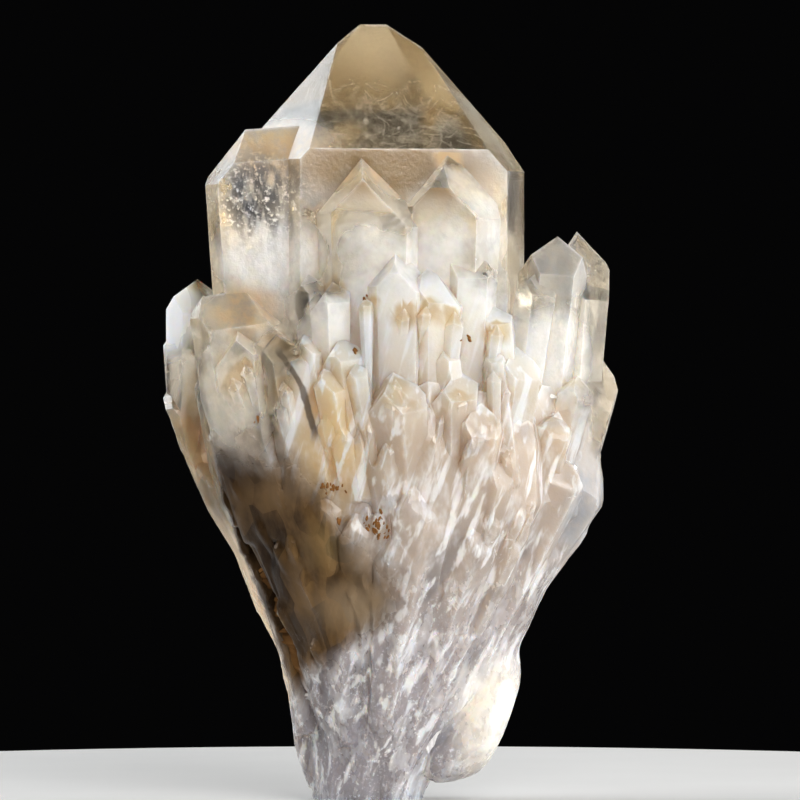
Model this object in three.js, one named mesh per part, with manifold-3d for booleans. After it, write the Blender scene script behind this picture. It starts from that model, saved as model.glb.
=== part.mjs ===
// A citrine crystal group of the candle habit, in millimetres. One large clear point stands in the middle.
// Dozens of smaller ones have grown on its flanks and on each other, nearly parallel to it, and they run
// down together into a ribbed, milky foot. All of it grew as one piece, so it is one solid. +Z is up and
// the front faces -Y. The origin is on the flat cut under the foot, below the middle of the group.
import * as THREE from "three";
import { ConvexGeometry } from "three/addons/geometries/ConvexGeometry.js";
import { mergeVertices } from "three/addons/utils/BufferGeometryUtils.js";
import Module from "manifold-3d";

const wasm = await Module();
wasm.setup();

const HEIGHT = 124.2; // from the flat cut to the highest point
const END_FACE_TILT = 38.2; // degrees from a crystal's long axis to its end faces, the same in all quartz
const SIDES = 6;
const SHOULDER = 0.6; // how far below the point the full width is reached, as a share of the width
const SINK = 0.4; // how deep a small crystal's lower end lies below the outline, as a share of its width
const SAME_PLACE = 1e-5; // for a corner that lies on a face

const degrees = THREE.MathUtils.degToRad;

// Small differences between crystals that repeat on every run: a number from -1 to 1 for each seed.
function vary(seed) {
  const wave = Math.sin(seed * 127.1 + 311.7) * 43758.5453;
  return 2 * (wave - Math.floor(wave)) - 1;
}

// The corner where three faces meet, or null where they run side by side.
function corner(a, b, c) {
  const bc = b.normal.clone().cross(c.normal);
  const volume = a.normal.dot(bc);
  if (Math.abs(volume) < 1e-6) return null;
  const ca = c.normal.clone().cross(a.normal);
  const ab = a.normal.clone().cross(b.normal);
  bc.multiplyScalar(a.reach).addScaledVector(ca, b.reach).addScaledVector(ab, c.reach);
  return bc.divideScalar(volume);
}

// The closed body that a set of flat faces cuts out. A face is its outward normal and its distance from
// the origin.
function bodyWithin(faces) {
  const corners = [];
  for (let i = 0; i < faces.length; i++)
    for (let j = i + 1; j < faces.length; j++)
      for (let k = j + 1; k < faces.length; k++) {
        const point = corner(faces[i], faces[j], faces[k]);
        const onBody = point && faces.every((face) => face.normal.dot(point) < face.reach + SAME_PLACE);
        if (onBody) corners.push(point);
      }
  return new ConvexGeometry(corners);
}

// One quartz crystal, made upright with its point at the origin: six long faces that narrow a little
// downwards, and six end faces, every second one large. flanks are the distances of the long faces from
// the axis through the point, ends how far each end face stands off the point. turn is how far the first
// face is turned from the front to the right, lean the tilt to the right and to the back, all in degrees.
function crystal({ tip, flanks, ends, length, turn = 0, lean = [0, 0], tilt = END_FACE_TILT, taper = 0 }) {
  const faces = [{ normal: new THREE.Vector3(0, 0, -1), reach: length }];
  const narrowing = degrees(taper);
  const slope = degrees(tilt);
  flanks.forEach((distance, side) => {
    const round = degrees(turn + (side * 360) / SIDES);
    const outward = new THREE.Vector3(Math.sin(round), -Math.cos(round), 0);
    const flank = outward.clone().multiplyScalar(Math.cos(narrowing)).setZ(-Math.sin(narrowing));
    const onFlank = outward.clone().multiplyScalar(distance).setZ(-2 * SHOULDER * distance);
    faces.push({ normal: flank, reach: flank.dot(onFlank) });
    const end = outward.clone().multiplyScalar(Math.cos(slope)).setZ(Math.sin(slope));
    faces.push({ normal: end, reach: ends[side] });
  });
  const along = new THREE.Vector3(Math.tan(degrees(lean[0])), Math.tan(degrees(lean[1])), 1).normalize();
  const tilted = new THREE.Quaternion().setFromUnitVectors(new THREE.Vector3(0, 0, 1), along);
  return bodyWithin(faces).applyQuaternion(tilted).translate(...tip);
}

// Which way a crystal with its point at a place runs down into the group: it keeps to the outline and
// sinks below it.
function leanAt([x, y, z], width, length) {
  const [middle, halfWidth, front, back] = outlineAt(z);
  const [footMiddle, footHalfWidth, footFront, footBack] = outlineAt(z - length);
  const across = THREE.MathUtils.clamp((x - middle) / halfWidth, -1, 1);
  const out = THREE.MathUtils.clamp(y / (y < 0 ? front : back), -1, 1);
  const rootX = footMiddle + across * (footHalfWidth - SINK * width);
  const rootY = out * ((y < 0 ? footFront : footBack) - SINK * width);
  return [x - rootX, y - rootY].map((run) => THREE.MathUtils.radToDeg(Math.atan2(run, length)));
}

// One of the smaller crystals, no two quite alike. small is how far its three lesser end faces stand off
// the point, as a share of its width, and aside how far its middle lies to the right of the point.
function smallCrystal({ tip, width, depth, length, small = 0.12, aside = 0, seed, ...pose }) {
  const flanks = [];
  const ends = [];
  for (let side = 0; side < SIDES; side++) {
    const round = degrees((pose.turn ?? 0) + (side * 360) / SIDES);
    const half = Math.hypot(Math.sin(round) * width, Math.cos(round) * (depth ?? 0.85 * width)) / 2;
    flanks.push(half * (1 + 0.09 * vary(seed * 3 + side)) + aside * Math.sin(round));
    ends.push(side % 2 ? width * small * (1 + 0.5 * vary(seed * 7 + side)) : 0);
  }
  return crystal({ tip, length, flanks, ends, taper: 2, lean: leanAt(tip, width, length), ...pose });
}

// A closed mesh as a solid that can be joined and cut.
function solid(geometry) {
  const bare = geometry.index ? geometry.toNonIndexed() : geometry.clone();
  bare.deleteAttribute("normal");
  bare.deleteAttribute("uv");
  const merged = mergeVertices(bare, 1e-4);
  return new wasm.Manifold(
    new wasm.Mesh({
      numProp: 3,
      vertProperties: new Float32Array(merged.attributes.position.array),
      triVerts: new Uint32Array(merged.index.array),
    }),
  );
}

// The outline of the group, level by level from the cut upwards: height, middle, half width, and how far
// it stands forward and back.
const LEVELS = [
  [-6, -3.4, 8.8, 9, 9],
  [2, -3.0, 10.2, 10.4, 10],
  [10, -1.2, 12.8, 12, 11.4],
  [17, 0.8, 15.6, 14.4, 13.4],
  [24, 1.6, 18.4, 17, 15.6],
  [32, 2.0, 22.0, 19.8, 18.2],
  [39, 2.2, 25.6, 22.4, 20.6],
  [47, 3.0, 30.6, 25.2, 22.8],
  [56, 0.8, 32.2, 26.8, 23.6],
  [66, -1.0, 30.4, 26.0, 22.6],
  [78, -0.6, 27.0, 22.6, 19.8],
  [90, -1.0, 22.0, 18.6, 17.0],
  [104, -1.0, 18.0, 15.0, 14.0],
];

// Middle, half width, and reach forward and back at a height between two levels.
function outlineAt(height) {
  const above = LEVELS.findIndex(([z]) => z > height);
  const upper = above < 0 ? LEVELS.length - 1 : Math.max(1, above);
  const [low, high] = [LEVELS[upper - 1], LEVELS[upper]];
  const share = THREE.MathUtils.clamp((height - low[0]) / (high[0] - low[0]), 0, 1);
  return low.map((value, index) => value + (high[index] - value) * share).slice(1);
}

// A flaring body through a list of levels, set in from them all round, with shallow ribs that turn to the
// right on their way up.
const RIBS = 26;
const RIB_TURN = 0.035; // radians from level to level
const RIB_STEP = 1.8; // how far a rib's steps lie off the level

function flare(levels, inset, ribDepth) {
  const positions = [];
  const indices = [];
  levels.forEach(([z, middle, halfWidth, front, back], level) => {
    for (let rib = 0; rib < RIBS; rib++) {
      const round = (rib * 2 * Math.PI) / RIBS + RIB_TURN * level + 0.09 * vary(rib * 5 + 1);
      const relief = 1 + ribDepth * (vary(rib * 9 + 2) + 0.35 * vary(rib * 31 + level * 17));
      const reach = (Math.cos(round) > 0 ? front : back) - inset;
      const x = middle + (halfWidth - inset) * relief * Math.sin(round);
      const rise = level ? RIB_STEP * vary(rib * 13 + level * 7) : 0;
      positions.push(x, -reach * relief * Math.cos(round), z + rise);
    }
  });
  const last = levels.length - 1;
  const bottom = positions.length / 3;
  const top = bottom + 1;
  positions.push(levels[0][1], 0, levels[0][0], levels[last][1], 0, levels[last][0]);
  for (let rib = 0; rib < RIBS; rib++) {
    const next = (rib + 1) % RIBS;
    indices.push(bottom, next, rib, top, last * RIBS + rib, last * RIBS + next);
    for (let level = 0; level < last; level++) {
      const [a, b] = [level * RIBS + rib, level * RIBS + next];
      indices.push(a, b, b + RIBS, a, b + RIBS, a + RIBS);
    }
  }
  const geometry = new THREE.BufferGeometry();
  geometry.setAttribute("position", new THREE.BufferAttribute(new Float32Array(positions), 3));
  return geometry.setIndex(indices);
}

// The core that all the crystals stand on, up to inside the large crystal, and the skin below the widest
// level where the small crystals' flanks have grown together and end.
const CORE_INSET = 1;
const SKIN_STAND_OFF = 1.5;
const WIDEST = 56;
const core = flare(LEVELS.slice(0, 10), CORE_INSET, 0.06);
const skin = flare([...LEVELS.filter(([z]) => z <= WIDEST), [140, 0, 64, 64, 64]], -SKIN_STAND_OFF, 0.02);

// The large clear point. A narrow face at its back cuts the point off to a short level edge.
const greatPoint = {
  tip: [-2.6, 0, HEIGHT],
  flanks: [16, 23.7, 16.9, 16.4, 17, 21.5],
  ends: [0, 3.95, 1.63, 0, 1.36, 3.3],
  turn: 14,
  length: 80,
};

// The broad point grown against its left side, chisel-shaped, with its edge in the front view.
const leftShoulder = {
  tip: [-16.9, -13.2, 107.4],
  flanks: [4.2, 8, 8, 15, 10.6, 11.6],
  ends: [0, 3.6, 3.6, 0, 3.9, 3.9],
  turn: 4,
  lean: [-4, 0],
  length: 42,
};

// The clear point in front of that one's foot, leaning to the left.
const leftPoint = {
  tip: [-25.4, -18, 81.1],
  flanks: [4.4, 10.4, 9, 8, 5.4, 6],
  ends: [0, 1.9, 1.9, 0, 2.7, 2.7],
  turn: 8,
  lean: [-8, -1],
  length: 40,
};

// The rest of the front. at is where each point lies in the front view, [right, up]. Its depth follows
// from the outline: ahead is how far the point stands out from it, and below zero only the crystal's
// shoulder shows.
const frontPoints = [
  {
    at: [-4.2, 102.4], width: 18, depth: 11, ahead: 1.6, length: 52,
    turn: 62, small: 0.2, aside: 0.6, lean: [0, 0],
  },
  {
    at: [9.4, 102.9], width: 15.6, depth: 11, ahead: 1.2, length: 52,
    turn: 48, small: 0.14, aside: 0.6, lean: [1, 0],
  },
  {
    at: [1.2, 87.6], width: 9.4, ahead: 1.8, length: 42,
    turn: 56, small: 0.16, aside: 0.3, lean: [0, -2],
  },
  {
    at: [6.2, 85], width: 8.6, depth: 8, ahead: 1.6, length: 40,
    turn: 20, small: 0.1, aside: 1.2, lean: [1, -2],
  },
  { at: [12.9, 88], width: 8.2, ahead: 2, length: 42, turn: 4, small: 0.2, lean: [2, -2] },
  { at: [-8.7, 82.8], width: 6.6, depth: 6, ahead: 2, length: 38, turn: 28, aside: -0.7, lean: [-2, -2] },
  { at: [-3.5, 80.2], width: 2.4, ahead: 2.6, length: 22, turn: 10 },
  { at: [-12.6, 84], width: 5, ahead: 2, length: 38, turn: 30, lean: [-3, -2] },
  { at: [8.9, 72.6], width: 4.2, ahead: 0.4, length: 24, turn: 34 },
  { at: [16.6, 79], width: 5.4, ahead: 0.6, length: 34, turn: 20, small: 0.2 },
  { at: [-13.3, 74.6], width: 5.4, ahead: 1.6, length: 26, turn: 44 },
  { at: [-7.5, 74], width: 6.2, ahead: 0.4, length: 26, turn: 22, small: 0.2 },
  { at: [-10.1, 69.2], width: 5.8, ahead: 1.6, length: 34, turn: 36, small: 0.16, aside: 0.5 },
  { at: [-5.1, 70], width: 3.8, ahead: 1.2, length: 24, turn: 20, small: 0.2 },
  { at: [0.8, 68.6], width: 9.2, ahead: 0.8, length: 34, turn: 34, small: 0.26, aside: 0.4 },
  { at: [10.9, 69], width: 7.4, depth: 7, ahead: 0.4, length: 32, turn: 28, small: 0.22, aside: -0.7 },
  { at: [14.6, 63.8], width: 7.4, depth: 7, ahead: 1, length: 38, turn: 18, small: 0.24 },
  { at: [20.3, 72.6], width: 9.8, depth: 8, ahead: 1, length: 40, turn: 38, small: 0.14, aside: -0.4 },
  { at: [16.4, 72], width: 3.4, ahead: 0.4, length: 22, turn: 8 },
  { at: [27, 62.4], width: 6.4, ahead: 0, length: 34, turn: 22 },
  { at: [-0.6, 56.2], width: 4.6, ahead: -1, length: 26, turn: 30 },
  { at: [-7.2, 60.6], width: 4.8, ahead: -0.6, length: 26, turn: 50 },
  { at: [4.2, 51.6], width: 9, ahead: -1.6, length: 34, turn: 44, small: 0.28, aside: 0.4 },
  { at: [17.4, 54.6], width: 6, ahead: -0.8, length: 36, turn: 40 },
  { at: [20.2, 41.8], width: 3, ahead: 0.2, length: 18, turn: 30, small: 0.24 },
  { at: [1.8, 43.2], width: 8.8, ahead: -0.4, length: 34, turn: 52, small: 0.14, aside: 0.2 },
  { at: [7, 48], width: 8, ahead: -2, length: 36, turn: 20, small: 0.2 },
  { at: [14.4, 45.6], width: 8.4, ahead: -2.4, length: 38, turn: 46, small: 0.18 },
  { at: [-5, 46.8], width: 7, ahead: -1, length: 32, turn: 26, small: 0.2 },
  { at: [-10.4, 50.4], width: 6.4, ahead: -1.2, length: 30, turn: 36, small: 0.24 },
  { at: [-7.4, 41.8], width: 12, depth: 9, ahead: -2.2, length: 34, turn: 14, small: 0.3 },
  { at: [-15.2, 44], width: 9, ahead: -2, length: 34, turn: 40, small: 0.2 },
  { at: [-18.8, 56.6], width: 5, ahead: -0.4, length: 32, turn: 18 },
  { at: [-22.4, 51.6], width: 6, ahead: -1, length: 34, turn: 34, small: 0.2 },
  { at: [-17.4, 49], width: 5.4, ahead: -0.8, length: 28, turn: 6 },
];

// The clear points on the left flank and the paler ones behind them, which make the outline.
const leftFlank = [
  {
    tip: [-23.6, -21.4, 75.6], width: 9.2, depth: 6, length: 30,
    turn: 50, small: 0.2, lean: [-7, -2], aside: -0.3,
  },
  { tip: [-17.6, -22.2, 74.6], width: 8.4, length: 40, turn: 6, small: 0.12, lean: [-8, -3], aside: 1.2 },
  {
    tip: [-30.6, 1, 83.4], width: 7.4, depth: 9, length: 36,
    turn: 10, small: 0.2, lean: [2, 2], aside: -0.4,
  },
  { tip: [-33, 3, 77], width: 7, depth: 9, length: 30, turn: 30, small: 0.24, lean: [-2, 0], aside: 0.4 },
  {
    tip: [-34.2, 1, 67.8], width: 8, depth: 10, length: 40,
    turn: 24, small: 0.14, lean: [-13, 0], aside: 0.6,
  },
  { tip: [-28.6, -11, 69.4], width: 5.4, length: 26, turn: 46, small: 0.2, lean: [-8, -3] },
  { tip: [-27.6, -13.6, 61], width: 6, length: 30, turn: 12, small: 0.2 },
  { tip: [-30.6, -3, 54.6], width: 8.4, depth: 9, length: 34, turn: 34, small: 0.24 },
  { tip: [-24.4, -4, 42.6], width: 9, depth: 10, length: 34, turn: 10, small: 0.3 },
];

// The taller points on the right flank and the outer ones below them.
const rightFlank = [
  {
    tip: [27, -6, 90.2], width: 9.6, depth: 10, length: 54,
    turn: 8, small: 0.22, lean: [5, -2], aside: -0.2,
  },
  {
    tip: [30.2, 0, 91], width: 9.6, depth: 11, length: 54,
    turn: 34, tilt: 28, small: 0.2, lean: [3, 0], aside: 0.6,
  },
  { tip: [23.8, -9.4, 84.6], width: 6.6, length: 46, turn: 20, small: 0.2, lean: [7, -3] },
  {
    tip: [33.8, -1, 71.2], width: 9, depth: 10, length: 42,
    turn: 26, tilt: 30, small: 0.2, lean: [14, 0],
  },
  { tip: [30.2, -9, 68], width: 6, length: 40, turn: 40, lean: [14, -4] },
  {
    tip: [33.4, -3, 57.2], width: 10, depth: 11, length: 50,
    turn: 26, small: 0.1, lean: [33, -2], aside: 1.6,
  },
  { tip: [29.2, -11, 54.6], width: 7.4, length: 44, turn: 6, small: 0.24 },
  { tip: [28.2, -4, 43.6], width: 9.4, depth: 11, length: 40, turn: 40, small: 0.3 },
];

// The back is like the front: rows of points from the top down, each row wider than the one above, as
// [height, how many, width, how far round to each side in degrees, length].
const backRows = [
  [104, 2, 14, 24, 50],
  [94, 3, 10.4, 52, 44],
  [83, 4, 9.4, 62, 40],
  [72, 5, 9, 74, 38],
  [61, 6, 8.6, 80, 38],
  [50, 6, 8.8, 80, 36],
  [39, 5, 9, 68, 32],
];

// How far forward, in mm, the group's surface stands at a place in the front view.
function surfaceDepth(x, z) {
  const [middle, halfWidth, front] = outlineAt(z);
  const across = THREE.MathUtils.clamp((x - middle) / halfWidth, -0.97, 0.97);
  return front * Math.sqrt(1 - across * across);
}

function frontCrystals() {
  return frontPoints.map(({ at: [x, z], ahead, ...shape }, index) =>
    smallCrystal({ tip: [x, -surfaceDepth(x, z) - ahead, z], seed: 11 + index, ...shape }),
  );
}

function backCrystals() {
  const made = [];
  backRows.forEach(([height, count, width, reach, length], row) => {
    for (let place = 0; place < count; place++) {
      const seed = 400 + row * 20 + place;
      const share = (2 * place) / (count - 1) - 1;
      const round = degrees(share * reach + 5 * vary(seed + 1));
      const z = height + 3.5 * vary(seed + 2) - 3 * Math.abs(share);
      const [middle, halfWidth, , back] = outlineAt(z);
      made.push(
        smallCrystal({
          tip: [middle + 0.98 * halfWidth * Math.sin(round), (back + 0.6) * Math.cos(round), z],
          width: width * (1 + 0.22 * vary(seed + 3)),
          length: length + 3 * vary(seed + 4),
          turn: 30 * vary(seed + 5),
          small: 0.18 + 0.08 * vary(seed + 6),
          seed,
        }),
      );
    }
  });
  return made;
}

// The smooth milky tongue at the foot's right front corner: a skin drawn over balls, each [right, back,
// up, radius].
const tongueBalls = [
  [8.4, -2.4, 5.8, 3.6],
  [13.4, -1, 6.6, 3],
  [15.2, -4.6, 10.6, 3.2],
  [14.8, 2.4, 12.4, 3.4],
  [17.4, -4, 16, 2.8],
  [19, -1.6, 20.4, 2.8],
];
const tongueKnob = [
  [18.6, -4.4, 21.4, 2],
  [19.6, -1, 22.2, 2.1],
];

function skinOver(balls) {
  const corners = [];
  for (const [x, y, z, radius] of balls) {
    const { position } = new THREE.SphereGeometry(radius, 9, 6).translate(x, y, z).attributes;
    for (let i = 0; i < position.count; i++)
      corners.push(new THREE.Vector3().fromBufferAttribute(position, i));
  }
  return new ConvexGeometry(corners);
}

const CUT_SIZE = 80; // the block that makes the flat cut, wider than the foot

function joinAll(pieces) {
  return pieces.map(solid).reduce((whole, piece) => whole.add(piece));
}

// Gaps between crystals that are closed in on all sides have grown full too, so the outer surface alone is
// kept.
function outerSurface(body) {
  return body.decompose().reduce((outer, piece) => (piece.volume() > outer.volume() ? piece : outer));
}

function group() {
  const small = joinAll([
    crystal(leftPoint),
    ...frontCrystals(),
    ...leftFlank.map((shape, index) => smallCrystal({ seed: 101 + index, ...shape })),
    ...rightFlank.map((shape, index) => smallCrystal({ seed: 201 + index, ...shape })),
    ...backCrystals(),
  ]);
  const tongue = [tongueBalls, tongueKnob].map(skinOver);
  const large = joinAll([core, crystal(greatPoint), crystal(leftShoulder), ...tongue]);
  const ground = new THREE.BoxGeometry(CUT_SIZE, CUT_SIZE, CUT_SIZE).translate(0, 0, -CUT_SIZE / 2);
  const whole = outerSurface(large.add(small.intersect(solid(skin))).subtract(solid(ground)));
  const { min, max } = whole.boundingBox();
  return whole.translate(-(min[0] + max[0]) / 2, -(min[1] + max[1]) / 2, 0);
}

// A joined solid as geometry again.
function geometryOf(body) {
  const { numProp, vertProperties, triVerts } = body.getMesh();
  const positions = new Float32Array((vertProperties.length / numProp) * 3);
  for (let i = 0; i < positions.length / 3; i++)
    positions.set(vertProperties.subarray(i * numProp, i * numProp + 3), i * 3);
  const geometry = new THREE.BufferGeometry();
  geometry.setAttribute("position", new THREE.BufferAttribute(positions, 3));
  geometry.setIndex(new THREE.BufferAttribute(triVerts, 1));
  geometry.computeVertexNormals();
  return geometry;
}

const citrine = new THREE.MeshStandardMaterial({ color: 0xe8d9bf, roughness: 0.12, metalness: 0 });
const cluster = new THREE.Mesh(geometryOf(group()), citrine);
cluster.name = "crystal_group";

const part = new THREE.Group();
part.add(cluster);

export default part;
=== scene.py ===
import math
import random

import bmesh
import bpy
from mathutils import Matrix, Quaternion, Vector, noise
from mathutils.bvhtree import BVHTree
from mathutils.kdtree import KDTree


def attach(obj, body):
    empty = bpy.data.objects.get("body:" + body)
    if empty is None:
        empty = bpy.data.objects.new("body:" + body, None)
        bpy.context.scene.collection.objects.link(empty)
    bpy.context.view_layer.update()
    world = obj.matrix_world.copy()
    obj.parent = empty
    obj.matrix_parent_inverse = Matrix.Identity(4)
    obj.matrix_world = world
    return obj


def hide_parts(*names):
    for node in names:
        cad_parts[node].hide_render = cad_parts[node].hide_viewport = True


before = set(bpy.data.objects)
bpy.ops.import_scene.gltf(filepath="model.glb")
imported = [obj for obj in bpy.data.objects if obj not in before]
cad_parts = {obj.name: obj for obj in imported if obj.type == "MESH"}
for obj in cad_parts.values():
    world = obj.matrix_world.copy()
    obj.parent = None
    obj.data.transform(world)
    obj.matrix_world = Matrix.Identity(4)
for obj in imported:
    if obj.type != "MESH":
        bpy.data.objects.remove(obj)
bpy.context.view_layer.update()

# The crystal group is one piece of quartz, grown from a common foot: a large clear point, a fan of smaller
# ones on its flanks, and a ribbed milky foot. Some 160 of the smallest, two or three millimetres across, have
# grown on the others. All are joined into one body. Its edges are worn and its foot is rough.
MM = 0.001
SEED = 6075
chance = random.Random(SEED)
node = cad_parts["crystal_group"]
outside = BVHTree.FromObject(node, bpy.context.evaluated_depsgraph_get())
SMALLEST = 170  # places tried; a few don't suit
SMALL_WIDTHS = (1.5, 3.4)  # mm
SMALL_LENGTHS = (3.0, 4.4)  # in widths
SMALL_HEIGHTS = (14, 84, 56)  # mm: lowest, highest and most usual
GROUP_AXIS = 1 * MM  # to the right
FAR_OUT = 0.1  # m, well outside the group


def smooth_step(value, low, high):
    """From 0 to 1, slowly at both ends, as the value goes from low to high."""
    share = min(1.0, max(0.0, (value - low) / (high - low)))
    return share * share * (3 - 2 * share)


def surface_at(round_, height):
    """The outermost point of the group at an angle round it and a height, and the way out there."""
    out = Vector((math.sin(round_), -math.cos(round_), 0))
    start = Vector((GROUP_AXIS, 0, height)) + out * FAR_OUT
    hit, _, _, _ = outside.ray_cast(start, -out)
    return hit, out


def small_crystal(tip, root, width, turn):
    """One tiny six-sided crystal as (corners, faces), thinning a little towards its root."""
    axis = (tip - root).normalized()
    side = axis.orthogonal().normalized()
    side.rotate(Quaternion(axis, turn))
    forward = axis.cross(side)
    corners = []
    radii = [width / 2 * chance.uniform(0.8, 1.15) for _ in range(6)]
    rises = [width * chance.uniform(0.35, 0.75) for _ in range(6)]
    for level in (0, 1):
        for corner in range(6):
            angle = corner * math.pi / 3
            spread = side * math.cos(angle) + forward * math.sin(angle)
            end = tip - axis * rises[corner] if level else root
            corners.append(end + spread * radii[corner] * (1.0 if level else 0.8))
    corners += [tip, root]
    faces = []
    for corner in range(6):
        after = (corner + 1) % 6
        faces += [(corner, after, 6 + after), (corner, 6 + after, 6 + corner),
                  (6 + corner, 6 + after, 12), (after, corner, 13)]
    return corners, faces


batches = []
for _ in range(SMALLEST):
    round_ = math.radians(chance.choice((0, 180)) + chance.uniform(-62, 62))
    height = MM * chance.triangular(*SMALL_HEIGHTS)
    width = MM * chance.uniform(*SMALL_WIDTHS)
    length = width * chance.uniform(*SMALL_LENGTHS)
    turn = chance.uniform(0, math.pi / 3)
    above, out = surface_at(round_, height)
    below, _ = surface_at(round_ + chance.uniform(-0.03, 0.03), height - length)
    if above is None or below is None:
        continue
    tip = above + out * 0.05 * width
    root = below - out * 0.85 * width
    lean = (tip - root).normalized().dot(out)
    if not -0.05 < lean < 0.62:
        continue
    reach = length / 2 + width
    middle = (tip + root) / 2
    for batch in batches:
        if all((middle - other).length > reach + other_reach for other, other_reach, _ in batch):
            break
    else:
        batches.append([])
        batch = batches[-1]
    batch.append((middle, reach, small_crystal(tip, root, width, turn)))

grown = bpy.data.objects.new("grown", node.data.copy())
SAME_PLACE = 0.002 * MM
cleaner = bmesh.new()
cleaner.from_mesh(grown.data)
bmesh.ops.remove_doubles(cleaner, verts=cleaner.verts, dist=SAME_PLACE)
cleaner.to_mesh(grown.data)
cleaner.free()
bpy.context.scene.collection.objects.link(grown)
additions = []
for index, batch in enumerate(batches):
    corners, faces = [], []
    for _, _, (some_corners, some_faces) in batch:
        faces += [tuple(corner + len(corners) for corner in face) for face in some_faces]
        corners += some_corners
    mesh = bpy.data.meshes.new(f"smallest_{index}")
    mesh.from_pydata(corners, [], faces)
    addition = bpy.data.objects.new(mesh.name, mesh)
    bpy.context.scene.collection.objects.link(addition)
    additions.append(addition)
    union = grown.modifiers.new("union", "BOOLEAN")
    union.operation = "UNION"
    union.solver = "MANIFOLD"
    union.object = addition
bpy.context.view_layer.update()
mesh = bpy.data.meshes.new_from_object(grown.evaluated_get(bpy.context.evaluated_depsgraph_get()))
for used in [grown, *additions]:
    bpy.data.objects.remove(used)

# Long edges are halved until the faces can carry the roughness of the foot. The clear faces stay coarse.
FINE_EDGE = 0.92 * MM
COARSE_EDGE = 3.2 * MM
FINE_TO_COARSE = (36 * MM, 80 * MM)  # heights
ALMOST_FLAT = math.radians(0.4)
TIP_HEIGHTS = (38 * MM, 108 * MM)
TIP_SLOPE = 0.12  # every edge falls away from a tip at least this steeply
quartz = bmesh.new()
quartz.from_mesh(mesh)
bmesh.ops.remove_doubles(quartz, verts=quartz.verts, dist=SAME_PLACE)
bmesh.ops.dissolve_limit(quartz, verts=quartz.verts, edges=quartz.edges, angle_limit=ALMOST_FLAT)
bmesh.ops.triangulate(quartz, faces=quartz.faces, ngon_method="BEAUTY")
quartz.verts.index_update()
tips = []
for vertex in quartz.verts:
    slopes = [(vertex.co - edge.other_vert(vertex).co).normalized().z for edge in vertex.link_edges]
    ridges = all(edge.is_convex for edge in vertex.link_edges)
    if TIP_HEIGHTS[0] < vertex.co.z < TIP_HEIGHTS[1] and ridges and min(slopes) > TIP_SLOPE:
        tips.append(vertex.co.copy())
tip_tree = KDTree(len(tips))
for index, tip in enumerate(tips):
    tip_tree.insert(tip, index)
tip_tree.balance()
corners = [vertex.co.copy() for vertex in quartz.verts]
triangles = [tuple(vertex.index for vertex in face.verts) for face in quartz.faces]
quartz.free()


def longest_edge_at(height):
    """Short in the rough foot, long in the clear crystals."""
    return FINE_EDGE + (COARSE_EDGE - FINE_EDGE) * smooth_step(height, *FINE_TO_COARSE)


def halved(triangles):
    """The same surface with a corner added in the middle of each edge that is too long."""
    middles = {}

    def middle_of(first, second):
        edge = (first, second) if first < second else (second, first)
        if edge not in middles:
            start, end = corners[first], corners[second]
            middles[edge] = None
            if (end - start).length > longest_edge_at((start.z + end.z) / 2):
                middles[edge] = len(corners)
                corners.append((start + end) / 2)
        return middles[edge]

    finer = []
    for triangle in triangles:
        outline = []
        for corner in range(3):
            first, second = triangle[corner], triangle[(corner + 1) % 3]
            outline.append((first, middle_of(first, second)))
        added = [middle for _, middle in outline if middle is not None]
        if not added:
            finer.append(triangle)
            continue
        while len(added) == 2 and outline[0][1] is not None or len(added) == 1 and outline[0][1] is None:
            outline = outline[1:] + outline[:1]
        (a, ab), (b, bc), (c, ca) = outline
        if len(added) == 3:
            finer += [(a, ab, ca), (ab, b, bc), (ca, bc, c), (ab, bc, ca)]
        elif len(added) == 2:
            finer += [(c, ca, bc), (a, b, bc), (a, bc, ca)]
        else:
            finer += [(a, ab, c), (ab, b, c)]
    return finer


while True:
    finer = halved(triangles)
    if len(finer) == len(triangles):
        break
    triangles = finer
mesh = bpy.data.meshes.new("citrine_crystals")
mesh.from_pydata(corners, [], triangles)
quartz = bmesh.new()
quartz.from_mesh(mesh)

# The milky tongue at the foot's right front corner has a smooth, flowing skin.
TONGUE_LEFT = 9.5 * MM
TONGUE_DEPTHS = (-12 * MM, 9 * MM)
TONGUE_HEIGHTS = (0.5 * MM, 27 * MM)
ALL_WAYS = {"factor": 0.5, "use_axis_x": True, "use_axis_y": True, "use_axis_z": True}
tongue = [
    vertex for vertex in quartz.verts
    if vertex.co.x > TONGUE_LEFT and TONGUE_DEPTHS[0] < vertex.co.y < TONGUE_DEPTHS[1]
    and TONGUE_HEIGHTS[0] < vertex.co.z < TONGUE_HEIGHTS[1]
]
for _ in range(14):
    bmesh.ops.smooth_vert(quartz, verts=tongue, **ALL_WAYS)

# Lower down the points have rounded domes and edges: the skin is smoothed more and more towards the foot.
FLAT_BASE = 1 * MM  # the cut stays as it is up to here
DOMES_BELOW = (62, 56, 50, 45, 40)  # mm; one pass each
for below in DOMES_BELOW:
    rounded = [vertex for vertex in quartz.verts if FLAT_BASE < vertex.co.z < below * MM]
    bmesh.ops.smooth_vert(quartz, verts=rounded, **ALL_WAYS)

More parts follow.
